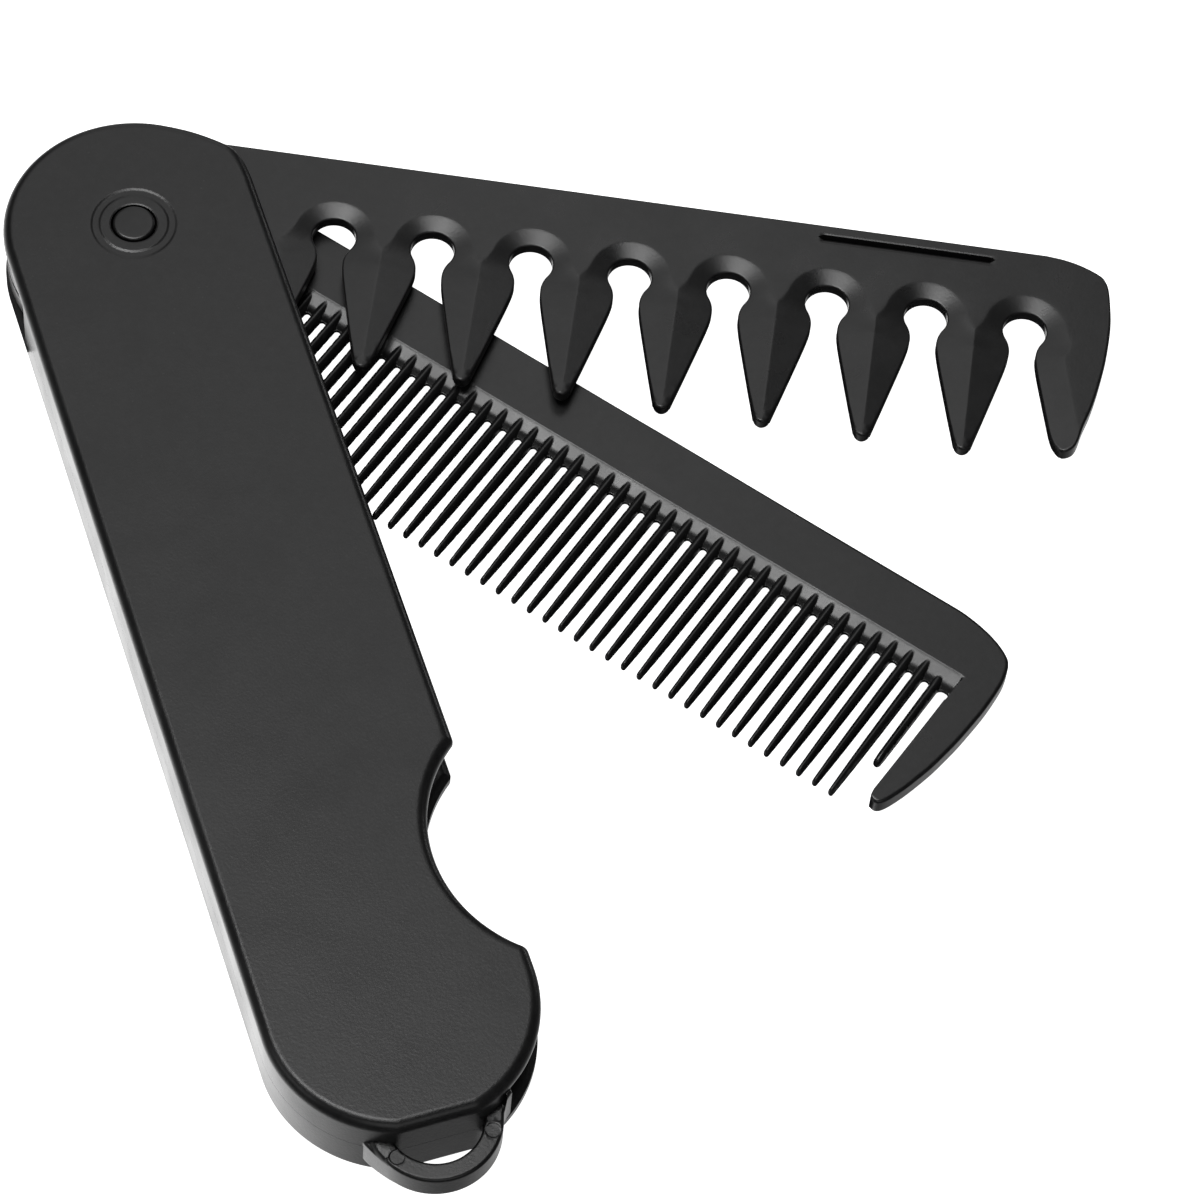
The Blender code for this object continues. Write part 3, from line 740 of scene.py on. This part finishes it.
def bevel_slope(v, beside_guard):
    """Slope of the faces round a gap: steep round the hole, gentle along the teeth."""
    return 0.25 - np.where(beside_guard, 0.085, 0.122) * smoothstep((4.9 - v) / 3.2)


# ------------------------------------------------------------------ fine comb
def tooth_a(v):
    """Half width of a fine tooth's oval section."""
    return np.interp(v, [-12.4, -11.7, -8.0, -5.0, 0.0, 4.0, 5.3], [0.30, 0.335, 0.43, 0.485, 0.543, 0.571, 0.58])


def tooth_b(v):
    """Half thickness of a fine tooth."""
    return np.interp(v, [-12.4, -11.7, -9.0, -4.0, 5.3, 8.0], [0.62, 0.74, 0.92, 0.99, 1.0, 1.0])


CUT = 0.965       # share of the oval's half width at which its edge is cut by the parting line


def fine_shape():
    us = [TOOTH_LAST_U - TOOTH_PITCH * k for k in range(TOOTH_COUNT)][::-1]
    teeth = [(u, TOOTH_TIP_V, 1.0) for u in us] + [(99.45, SHORT_TOOTH_TIP_V, 0.97)]
    heel_u = us[0] - 0.6 - 0.75
    rows = np.array([-11.4, -10.2, -8.9, -7.6, -6.3, -5.0, -3.7, -2.4, -1.1, 0.2, 1.5, 2.8, 4.0])
    parts = [pivot_end(TOOTH_TIP_V), rounded((heel_u - 4, TOOTH_TIP_V), (heel_u, TOOTH_TIP_V), (heel_u, 0), 0.9, 10)]
    parts.append(np.c_[np.full(9, heel_u), np.linspace(-10.5, 3.8, 9)])
    left = heel_u
    for u, tip_v, size in teeth:
        # rounded root of the gap on this tooth's low side
        right = u - CUT * size * tooth_a(4.4)
        half = (right - left) / 2
        root = [(left + half - half * math.cos(a), TOOTH_ROOT_V - 0.5 + 0.5 * math.sin(a)) for a in np.radians([0, 22.5, 45, 67.5, 90, 112.5, 135, 157.5, 180])]
        parts.append(root)
        own = rows[rows > tip_v + 0.75]
        w = CUT * size * tooth_a(own)
        parts.append(np.c_[u - w, own][::-1])
        # the tip's outline is the same oval narrowing to a round end
        tr = CUT * size * (0.325 if tip_v < -10 else 0.43)
        parts.append(arc(u, tip_v + tr, tr, 185, 355, 18.9))
        parts.append(np.c_[u + w, own])
        left = u + CUT * size * tooth_a(4.4)
    half = (GUARD_IN_U + 0.05 - left) / 2
    parts.append([(left + half - half * math.cos(a), TOOTH_ROOT_V - 0.6 + 0.6 * math.sin(a)) for a in np.radians([0, 20, 40, 60, 80, 100, 125, 150, 180])])
    parts.append(np.array([(101.32, 3.5), (101.26, 0.0), (101.18, -4.0), (101.08, -8.0), (101.03, -9.7)]))
    end = smooth_through([(101.03, -9.7), (101.2, -10.55), *FINE_END], 5)
    parts.append(end[1:])
    outline = tidy(parts, 0.02)
    long = split_long(outline, 1.4)
    return long, teeth, heel_u


def fine_comb():
    outline, teeth, heel_u = fine_shape()
    hole = ring_lines([2.32], 72)[0][::-1]
    loops = [outline, hole]
    comb_side = (outline[:, 0] > heel_u - 0.01) & (outline[:, 0] < GUARD_IN_U + 0.2) & (outline[:, 1] < 5.6)
    a, b = outline, np.roll(outline, -1, axis=0)
    guard_side = ~(comb_side & np.roll(comb_side, -1))
    rim = (a[guard_side], b[guard_side])
    inner_rim = (a[~guard_side & (a[:, 0] > 100.9)], b[~guard_side & (a[:, 0] > 100.9)])
    points = []
    # outer rim
    ring_pts = rings([outline], [0.012, 0.05, 0.11, 0.19, 0.3, 0.42, 0.56, 0.75, 0.95, 1.15])
    near_rim = distance(ring_pts, rim) < 1.2
    own = ring_pts[near_rim & ~((ring_pts[:, 0] > heel_u + 0.02) & (ring_pts[:, 0] < 100.7) & (ring_pts[:, 1] < 5.6))]
    points.append(own)
    guard_in = rings([outline], [0.03, 0.08, 0.15, 0.3])
    points.append(guard_in[(guard_in[:, 0] > 101.0) & (guard_in[:, 0] < 101.8) & (guard_in[:, 1] < 5.2)])
    # teeth, in rows and columns of their own
    shares = np.array([-0.93, -0.8, -0.62, -0.42, -0.2, 0.0, 0.2, 0.42, 0.62, 0.8, 0.93])
    for u, tip_v, size in teeth:
        rows = np.arange(tip_v + 1.1, 4.4, 0.55)
        w = CUT * size * tooth_a(rows)
        points.append(np.c_[(u + w[:, None] * shares).ravel(), np.repeat(rows, len(shares))])
        tr = CUT * size * (0.325 if tip_v < -10 else 0.43)
        for share in (0.9, 0.72, 0.48, 0.22):
            points.append(arc(u, tip_v + tr, tr * share, 180, 360, 22.5 if share > 0.4 else 45))
            points.append(np.array([(u - tr * share, tip_v + tr + 0.3), (u + tr * share, tip_v + tr + 0.3)]))
        points.append(np.array([(u, tip_v + tr), (u, tip_v + tr + 0.3)]))
    # root and band zone
    g = grid(heel_u + 0.05, GUARD_IN_U + 0.9, 4.45, 6.8, 0.118, 0.115)
    g = g[inside(g, loops)]
    g = g[distance(g, (a[~guard_side], b[~guard_side])) > 0.045]
    points.append(g)
    for off in (6.84, 6.9, 6.96, 7.02, 7.08, 7.14, 7.25, 7.5):
        us = np.arange(heel_u, GUARD_IN_U + 0.8, 0.4)
        points.append(np.c_[us, np.full(len(us), off)])
    body = grid(-13, 105, -13, 13.5, 2.0)
    body = body[inside(body, loops)]
    body = body[(distance(body, rim) > 1.4) & (np.hypot(*body.T) > 3) & ~((body[:, 0] > heel_u - 0.3) & (body[:, 1] < 7.9) & (body[:, 0] < 102.2))]
    points.append(body)
    lines = []
    pts = np.concatenate(points)
    pts = pts[inside(pts, loops)]
    v, f = triangulated(loops, lines, pts)

    u, w = v[:, 0], v[:, 1]
    half = np.full(len(v), BLADE_T / 2)
    # the sloping band under the step, and the roll into the gap roots
    step = 0.02 * smoothstep((STEP_V - w) / 0.25)
    slope = 0.30 * np.clip((STEP_V - w), 0, None)
    band = BLADE_T / 2 - step - slope
    nose = np.clip((5.8 - w) / (5.8 - TOOTH_ROOT_V), 0, 1)
    band = np.maximum(band * np.sqrt(1 - 0.97 * nose**2.4), 0.2)
    end_u = GUARD_IN_U + 0.12 + 0.1 * np.clip(w - 5.3, 0, 3)
    zone = smoothstep((end_u - u) / 0.1) * smoothstep((u - heel_u + 0.0) / 0.1)
    in_teeth = (u > heel_u - 0.001) & (u < end_u + 0.001) & (w < STEP_V + 0.01) & ((u < 100.7) | (w > 4.2))
    # the teeth's ovals
    oval = np.full(len(v), -1.0)
    for tu, tip_v, size in teeth:
        s = np.abs(u - tu)
        a_ = size * tooth_a(w)
        b_ = size * tooth_b(w)
        if tip_v > -10:
            b_ = np.minimum(b_, 0.98 - 0.30 * smoothstep((tip_v + 1.6 - w) / 1.6)) * np.where(w > 5.6, 0.93, 1)
        m = (s < a_ * 1.02) & (w >= tip_v - 0.01)
        if tip_v > -10:
            b_ = np.where(w > 4.6, b_ - 0.16 * smoothstep((w - 4.6) / 1.4), b_)
        tr = CUT * size * (0.325 if tip_v < -10 else 0.43)
        over = np.clip((tip_v + tr - w) / tr, 0, 1)
        q = np.clip((s / a_) ** 2, 0, 1)
        q_tip = (np.hypot(s, np.clip(tip_v + tr - w, 0, None)) / tr * CUT) ** 2
        q = np.where(over > 0, np.maximum(q, np.clip(q_tip, 0, 1)), q)
        h = b_ * np.sqrt(np.clip(1 - q, 0.02, 1))
        oval = np.where(m & (h > oval), h, oval)
    k = 0.03
    both = np.where(oval > 0, k * np.log(np.exp(band / k) + np.exp(oval / k)), band)
    shape = np.where(w < 4.36, np.where(oval > 0, np.maximum(oval, 0.12), 0.2), both)
    shape = np.minimum(shape, BLADE_T / 2 - step)
    half = np.where(in_teeth, half * (1 - zone) + shape * zone, half)
    # outer rim: small rounding above, large below; guard's inner edge small
    d_rim = distance(v, rim)
    d_in = distance(v, inner_rim)
    outside = ~in_teeth | (u > 100.9)
    r_top, r_low = 0.38, 1.05
    far = smoothstep((u - 60) / 25)
    r_top = 0.15 + 0.19 * far
    r_low = 0.3 + 0.15 * far
    drop_top = np.where(d_rim < r_top, r_top - np.sqrt(np.maximum(r_top**2 - (r_top - np.minimum(d_rim, r_top)) ** 2, 0)), 0)
    drop_low = np.where(d_rim < r_low, r_low - np.sqrt(np.maximum(r_low**2 - (r_low - np.minimum(d_rim, r_low)) ** 2, 0)), 0)
    drop_in = round_drop(d_in, 0.12)
    keep = (u > 100.9) | (u < heel_u + 0.01) | (w > 7.6)
    drop_top = np.where(keep, np.maximum(drop_top, np.where(u > 101.0, drop_in, 0)), 0)
    drop_low = np.where(keep, np.maximum(drop_low, np.where(u > 101.0, drop_in, 0)), 0)
    top = BLADE_T / 2 + half - drop_top
    low = BLADE_T / 2 - half + drop_low
    low = np.minimum(low, top - 0.1)
    verts, faces = relief(v, f, top, [low], margin=0.06)
    verts[:, 2] += FINE_Z
    return verts, faces


# ------------------------------------------------------------------ materials
def moulded_plastic(name, colour, roughness, grain, speck, specular):
    """Moulded black plastic: fine spark-eroded grain, sparse pale specks and slightly uneven gloss."""
    mat = bpy.data.materials.new(name)
    mat.use_nodes = True
    tree = mat.node_tree
    tree.nodes.clear()
    add, link = tree.nodes.new, tree.links.new
    out = add("ShaderNodeOutputMaterial")
    shader = add("ShaderNodeBsdfPrincipled")
    link(shader.outputs["BSDF"], out.inputs["Surface"])
    shader.inputs["Metallic"].default_value = 0.0
    shader.inputs["IOR"].default_value = 1.5
    shader.inputs["Specular IOR Level"].default_value = specular
    coord = add("ShaderNodeTexCoord")

    def noise(scale, detail, rough=0.5):
        node = add("ShaderNodeTexNoise")
        node.inputs["Scale"].default_value = scale
        node.inputs["Detail"].default_value = detail
        node.inputs["Roughness"].default_value = rough
        link(coord.outputs["Object"], node.inputs["Vector"])
        return node

    def ramp(source, stops):
        node = add("ShaderNodeValToRGB")
        node.color_ramp.interpolation = "LINEAR"
        while len(node.color_ramp.elements) < len(stops):
            node.color_ramp.elements.new(0.5)
        for element, (at, value) in zip(node.color_ramp.elements, stops):
            element.position = at
            element.color = (*value, 1) if isinstance(value, tuple) else (value, value, value, 1)
        link(source, node.inputs["Fac"])
        return node

    def scaled(c, k):
        return tuple(x * k for x in c)

    mottle = noise(900.0, 4.0, 0.65)
    base = ramp(mottle.outputs["Fac"], [(0.3, scaled(colour, 0.72)), (0.52, colour), (0.75, scaled(colour, 1.4))])
    cells = add("ShaderNodeTexVoronoi")
    cells.inputs["Scale"].default_value = 1100.0
    link(coord.outputs["Object"], cells.inputs["Vector"])
    flecks = ramp(cells.outputs["Distance"], [(0.0, speck), (0.16, 0.0)])
    where = noise(420.0, 3.0, 0.7)
    some = ramp(where.outputs["Fac"], [(0.5, 0.0), (0.66, 1.0)])
    both = add("ShaderNodeMath")
    both.operation = "MULTIPLY"
    link(flecks.outputs["Color"], both.inputs[0])
    link(some.outputs["Color"], both.inputs[1])
    mix = add("ShaderNodeMix")
    mix.data_type = "RGBA"
    link(both.outputs["Value"], mix.inputs["Factor"])
    link(base.outputs["Color"], mix.inputs[6])
    mix.inputs[7].default_value = (0.05, 0.05, 0.049, 1)
    link(mix.outputs[2], shader.inputs["Base Color"])
    uneven = noise(120.0, 3.0, 0.6)
    gloss = ramp(uneven.outputs["Fac"], [(0.3, roughness - 0.045), (0.7, roughness + 0.045)])
    link(gloss.outputs["Color"], shader.inputs["Roughness"])
    fine = noise(3300.0, 3.0, 0.6)
    bump = add("ShaderNodeBump")
    bump.inputs["Strength"].default_value = grain
    bump.inputs["Distance"].default_value = 0.00002
    link(fine.outputs["Fac"], bump.inputs["Height"])
    broad = noise(160.0, 2.0, 0.5)
    wave = add("ShaderNodeBump")
    wave.inputs["Strength"].default_value = 0.25
    wave.inputs["Distance"].default_value = 0.00002
    link(broad.outputs["Fac"], wave.inputs["Height"])
    link(wave.outputs["Normal"], bump.inputs["Normal"])
    link(bump.outputs["Normal"], shader.inputs["Normal"])
    return mat


handle_plastic = moulded_plastic("handle_plastic", (0.0075, 0.0075, 0.0077), 0.32, 0.85, 0.55, 0.5)
comb_plastic = moulded_plastic("comb_plastic", (0.0070, 0.0070, 0.0072), 0.30, 0.45, 0.25, 0.55)
rivet_plastic = moulded_plastic("rivet_plastic", (0.0070, 0.0070, 0.0072), 0.30, 0.3, 0.2, 0.5)


# ------------------------------------------------------------------ the pieces
def place(name, made, turn, body, node, material):
    verts, faces = made
    obj = mesh_object(name, verts, faces, turn)
    obj.data.materials.append(material)
    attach(obj, body)
    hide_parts(node)
    return obj


top_mesh = mesh_object("top_cover_shell", *cover("top", True), sharp=None)
loop_mesh = mesh_object("key_ring_loop", *loop_body(), sharp=None)
top_cover = union("top_cover_shell", top_mesh, loop_mesh)
top_cover.data.shade_smooth()
top_cover.data.set_sharp_from_angle(angle=math.radians(30))
top_cover.data.materials.clear()
top_cover.data.materials.append(handle_plastic)
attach(top_cover, "handle")
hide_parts("handle_top_cover")
place("bottom_cover_shell", cover("bottom", False), 0, "handle", "handle_bottom_cover", handle_plastic)
place("pivot_pin", rivet(), 0, "handle", "pivot_rivet", rivet_plastic)
place("wide_tooth_comb", wide_comb(), WIDE_DEG, "wide_comb", "wide_comb", comb_plastic)
place("fine_tooth_comb", fine_comb(), FINE_DEG, "fine_comb", "fine_comb", comb_plastic)

# ------------------------------------------------------------------ floor, light, camera
floor_mesh = bpy.data.meshes.new("floor")
floor_mesh.from_pydata([(-4, -4, -0.00005), (4, -4, -0.00005), (4, 4, -0.00005), (-4, 4, -0.00005)], [], [(0, 1, 2, 3)])
floor = bpy.data.objects.new("floor", floor_mesh)
bpy.context.scene.collection.objects.link(floor)
paper = bpy.data.materials.new("floor_paper")
paper.use_nodes = True
paper_shader = paper.node_tree.nodes["Principled BSDF"]
paper_shader.inputs["Roughness"].default_value = 0.9
paper_shader.inputs["Specular IOR Level"].default_value = 0.0
paper_shader.inputs["Emission Color"].default_value = (1, 1, 1, 1)
paper_shader.inputs["Emission Strength"].default_value = 1.1
paper_noise = paper.node_tree.nodes.new("ShaderNodeTexNoise")
paper_noise.inputs["Scale"].default_value = 400.0
paper_ramp = paper.node_tree.nodes.new("ShaderNodeValToRGB")
paper_ramp.color_ramp.elements[0].color = (0.86, 0.86, 0.86, 1)
paper_ramp.color_ramp.elements[1].color = (0.9, 0.9, 0.9, 1)
paper.node_tree.links.new(paper_noise.outputs["Fac"], paper_ramp.inputs["Fac"])
paper.node_tree.links.new(paper_ramp.outputs["Color"], paper_shader.inputs["Base Color"])
floor_mesh.materials.append(paper)
floor.visible_glossy = False

# painted shadow: black cards on the floor, under the combs and beside the open slot, seen only in the reflections,
# stand in for the shade the pieces cast on the floor there
shadow_card_material = bpy.data.materials.new("painted_shadow_card")
shadow_card_material.use_nodes = True
shadow_card_shader = shadow_card_material.node_tree.nodes["Principled BSDF"]
shadow_card_shader.inputs["Base Color"].default_value = (0.001, 0.001, 0.001, 1)
shadow_card_shader.inputs["Roughness"].default_value = 1.0
shadow_card_shader.inputs["Specular IOR Level"].default_value = 0.0
PAINTED_SHADOW_CARDS = [
    ("painted_shadow_wide", WIDE_DEG, [(12, -15), (103, -15), (103, 8), (12, 8)]),
    ("painted_shadow_fine", FINE_DEG, [(10, -15), (101, -15), (101, 6), (10, 6)]),
    ("painted_shadow_slot", 0.0, [(-15.3, -6.8), (-8, -6.8), (-8, 14), (-15.3, 14)]),
]
for name, turned, corners in PAINTED_SHADOW_CARDS:
    c, n = math.cos(math.radians(turned)), math.sin(math.radians(turned))
    shadow_card_mesh = bpy.data.meshes.new(name)
    shadow_card_mesh.from_pydata([((x * c - y * n) * MM, (x * n + y * c) * MM, 0.0001) for x, y in corners], [], [(0, 1, 2, 3)])
    shadow_card_mesh.materials.append(shadow_card_material)
    card = bpy.data.objects.new(name, shadow_card_mesh)
    bpy.context.scene.collection.objects.link(card)
    # painted shadow: the cards are hidden from camera, diffuse and shadow rays, so they only darken what the glossy
    # reflections see
    card.visible_camera = card.visible_diffuse = card.visible_shadow = card.visible_transmission = False


def towards(azimuth, elevation):
    """Unit vector; azimuth from +Y towards +X, degrees."""
    a, e = math.radians(azimuth), math.radians(elevation)
    return Vector((math.sin(a) * math.cos(e), math.cos(a) * math.cos(e), math.sin(e)))


FOCUS = Vector((0.035, -0.05, 0.005))


def panel(name, location, along, size, radiance):
    """A soft panel facing the comb, its long side turned along one way; radiance is what the panel itself looks like."""
    data = bpy.data.lights.new(name, "AREA")
    data.shape = "RECTANGLE"
    data.size, data.size_y = size
    data.energy = radiance * math.pi * size[0] * size[1]
    light = bpy.data.objects.new(name, data)
    bpy.context.scene.collection.objects.link(light)
    back = (Vector(location) - FOCUS).normalized()
    side = (Vector(along) - back * back.dot(Vector(along))).normalized()
    light.matrix_world = Matrix.Translation(location) @ Matrix((side, back.cross(side), back)).transposed().to_4x4()
    light.visible_camera = False
    return light


panel("overhead_panel", (-0.06, 0.15, 1.0), (0.93, -0.37, 0), (0.58, 0.25), 5.8)
panel("overhead_south_panel", (-0.1, -0.11, 1.0), (0.45, 0.89, 0), (0.3, 0.2), 5.2)
panel("overhead_left_panel", (-0.23, 0.15, 1.0), (0.93, -0.37, 0), (0.27, 0.26), 5.6)
panel("north_panel", FOCUS + towards(5, 54), (1, 0, 0), (0.70, 0.56), 0.68)
panel("north_soft_panel", (0.37, 0.61, 1.0), (1, 0, 0), (0.28, 0.28), 0.6)
panel("horizon_panel", FOCUS + towards(16, 20), (1, 0, 0), (0.5, 0.62), 0.6)
panel("south_soft_panel", FOCUS + towards(190, 38), (1, 0, 0), (0.9, 0.5), 0.8)
panel("west_soft_panel", FOCUS + towards(268, 30), (0, 1, 0), (0.6, 0.4), 0.8)
panel("east_panel", FOCUS + towards(60, 50), (1, -1, 0), (0.3, 0.25), 0.12)
panel("east_horizon_panel", FOCUS + towards(62, 5), (1, -1, 0), (0.4, 0.12), 2.6)

# a soft glow from below on the left, as from a white table; the rest of the room is dim
world = bpy.data.worlds.new("studio")
bpy.context.scene.world = world
world.use_nodes = True
world.cycles.sampling_method = "NONE"
sky = world.node_tree
background = sky.nodes["Background"]
background.inputs["Color"].default_value = (1, 1, 1, 1)
where_to = sky.nodes.new("ShaderNodeTexCoord")


def glow(direction, power, strength, added):
    facing = sky.nodes.new("ShaderNodeVectorMath")
    facing.operation = "DOT_PRODUCT"
    facing.inputs[1].default_value = direction
    sky.links.new(where_to.outputs["Generated"], facing.inputs[0])
    value = facing.outputs["Value"]
    for operation, other in (("MAXIMUM", 0.0), ("POWER", power), ("MULTIPLY", strength), ("ADD", 0.0)):
        step = sky.nodes.new("ShaderNodeMath")
        step.operation = operation
        step.inputs[1].default_value = other
        sky.links.new(value, step.inputs[0])
        value = step.outputs[0]
    if added is None:
        step.inputs[1].default_value = 0.03
    else:
        sky.links.new(added, step.inputs[1])
    return value


value = glow(towards(320.0, -55.0), 4.0, 2.4, None)
value = glow(towards(80.0, -55.0), 6.0, 0.45, value)
sky.links.new(value, background.inputs["Strength"])

lens = bpy.data.cameras.new("camera")
lens.sensor_fit = "HORIZONTAL"
lens.sensor_width = 36.0
lens.lens = 151.35
lens.clip_start, lens.clip_end = 0.01, 20.0
camera = bpy.data.objects.new("camera", lens)
bpy.context.scene.collection.objects.link(camera)
right = Vector((0.94861, -0.31140, 0.05626))
up = Vector((0.23709, 0.81718, 0.52532))
ahead = Vector((0.20955, 0.48496, -0.84904))
turn = Matrix((right, up, -ahead)).transposed().to_4x4()
camera.matrix_world = Matrix.Translation((-0.075571, -0.31115, 0.451038)) @ turn
bpy.context.scene.camera = camera
bpy.context.scene.view_settings.view_transform = "Standard"
bpy.context.scene.view_settings.look = "None"
bpy.context.scene.view_settings.exposure = 0.0
bpy.context.scene.view_settings.gamma = 1.0
